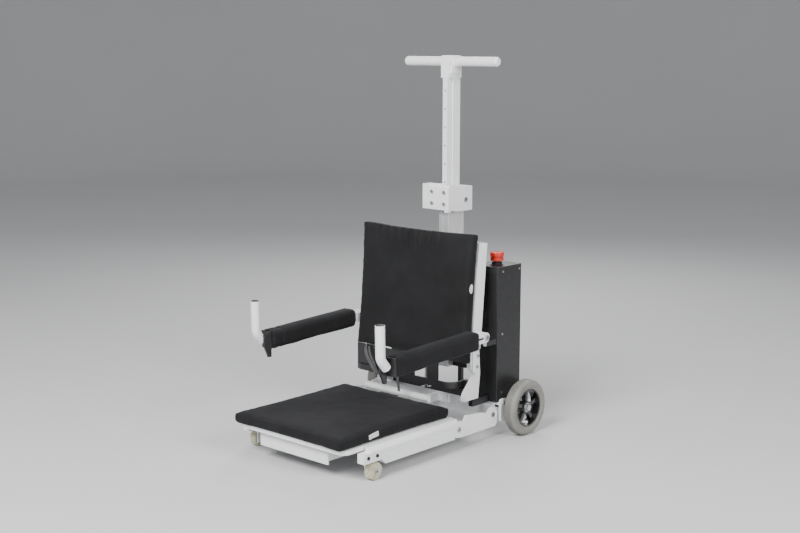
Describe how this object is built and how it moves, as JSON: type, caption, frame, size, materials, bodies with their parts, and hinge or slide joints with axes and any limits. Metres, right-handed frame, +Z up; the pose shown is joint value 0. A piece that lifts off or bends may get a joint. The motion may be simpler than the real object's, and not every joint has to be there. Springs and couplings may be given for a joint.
{
  "type": "stair climbing trolley",
  "caption": "Powered stair trolley with a floor level seat on a lifting carriage, reclined backrest, armrests, rear wheels, front rollers and an adjustable T handle.",
  "frame": {"origin": "middle of the footprint, on the floor", "axes": "+Z up, the seat faces -Y, the wheels are at +Y, +X is the sitter's left"},
  "size_m": [0.713, 0.96, 1.3425],
  "materials": {
    "white_paint": "satin powder coat",
    "black_paint": "satin powder coat",
    "aluminium": "anodised",
    "steel": "ground",
    "zinc": "zinc plated",
    "charcoal_fabric": "woven upholstery",
    "tyre_grey": "non-marking rubber",
    "hub_black": "glossy",
    "roller_urethane": "translucent urethane",
    "black_plastic": "moulded",
    "red_plastic": "moulded"
  },
  "bodies": {
    "chassis": {"axle_beam": "black_paint", "wheel_plates": "white_paint", "axle": "steel", "mast_pedestal": "black_paint", "mast": "aluminium", "mast_struts": "black_paint", "head_block": "white_paint", "lift_actuator": "black_paint", "drive_box": "black_paint", "drive_box_lid": "black_paint", "battery_pack": "black_plastic", "motor_controller": "aluminium", "box_bracket": "white_paint", "estop_base": "black_plastic", "chassis_fasteners": "zinc"},
    "carriage": {"side_rail_left": "white_paint", "side_rail_right": "white_paint", "side_plate_left": "white_paint", "side_plate_right": "white_paint", "roller_blocks": "white_paint", "roller_axles": "zinc", "rear_cross_beam": "aluminium", "lift_cross_bar": "white_paint", "frame_bolts": "zinc", "back_post_left": "white_paint", "back_post_right": "white_paint", "cross_tubes": "white_paint", "mast_carriage": "black_paint", "glide_shoes": "black_plastic", "actuator_rod": "steel", "back_panel": "black_paint", "back_cushion": "charcoal_fabric", "back_hoop": "black_paint", "post_foot": "black_paint"},
    "seat": {"seat_board": "white_paint", "seat_cushion": "charcoal_fabric", "under_frame": "white_paint", "hinge_tube": "steel"},
    "front_roller_left": {"roller_left": "roller_urethane"},
    "front_roller_right": {"roller_right": "roller_urethane"},
    "wheel_left": {"tyre_left": "tyre_grey", "hub_left": "hub_black", "bearings_left": "steel"},
    "wheel_right": {"tyre_right": "tyre_grey", "hub_right": "hub_black", "bearings_right": "steel"},
    "arm_left": {"arm_frame_left": "black_paint", "arm_knuckle_left": "white_paint", "arm_pad_left": "charcoal_fabric", "arm_grip_left": "white_paint"},
    "arm_right": {"arm_frame_right": "black_paint", "arm_knuckle_right": "white_paint", "arm_pad_right": "charcoal_fabric", "arm_grip_right": "white_paint"},
    "handle": {"stem_tube": "white_paint", "index_rail": "white_paint", "handle_clamp": "white_paint", "handle_bar": "white_paint"},
    "estop": {"estop_button": "red_plastic"},
    "index_plunger": {"index_knob": "black_plastic"}
  },
  "joints": [
    {"name": "lift_slide", "type": "slide", "parent": "chassis", "child": "carriage", "axis": [0, 0, 1], "range_m": [0, 0.25]},
    {"name": "seat_fold", "type": "hinge", "parent": "carriage", "child": "seat", "pos_m": [0, 0.064, 0.077], "axis": [-1, 0, 0], "range_deg": [0, 72]},
    {"name": "arm_left_fold", "type": "hinge", "parent": "carriage", "child": "arm_left", "pos_m": [0.295, 0.19, 0.382], "axis": [-1, 0, 0], "range_deg": [0, 90]},
    {"name": "arm_right_fold", "type": "hinge", "parent": "carriage", "child": "arm_right", "pos_m": [-0.295, 0.19, 0.382], "axis": [-1, 0, 0], "range_deg": [0, 90]},
    {"name": "front_roller_left_spin", "type": "hinge", "parent": "carriage", "child": "front_roller_left", "pos_m": [0.2755, -0.35, 0.03], "axis": [1, 0, 0], "continuous": true},
    {"name": "front_roller_right_spin", "type": "hinge", "parent": "carriage", "child": "front_roller_right", "pos_m": [-0.2755, -0.35, 0.03], "axis": [1, 0, 0], "continuous": true},
    {"name": "wheel_left_spin", "type": "hinge", "parent": "chassis", "child": "wheel_left", "pos_m": [0.334, 0.38, 0.1], "axis": [1, 0, 0], "continuous": true},
    {"name": "wheel_right_spin", "type": "hinge", "parent": "chassis", "child": "wheel_right", "pos_m": [-0.334, 0.38, 0.1], "axis": [1, 0, 0], "continuous": true},
    {"name": "handle_slide", "type": "slide", "parent": "chassis", "child": "handle", "axis": [0, 0, 1], "range_m": [-0.33, 0]},
    {"name": "estop_press", "type": "slide", "parent": "chassis", "child": "estop", "axis": [0, 0, -1], "range_m": [0, 0.004], "stiffness_N_per_m": 1500},
    {"name": "index_pull", "type": "slide", "parent": "chassis", "child": "index_plunger", "axis": [0, 1, 0], "range_m": [0, 0.008], "stiffness_N_per_m": 1200}
  ]
}
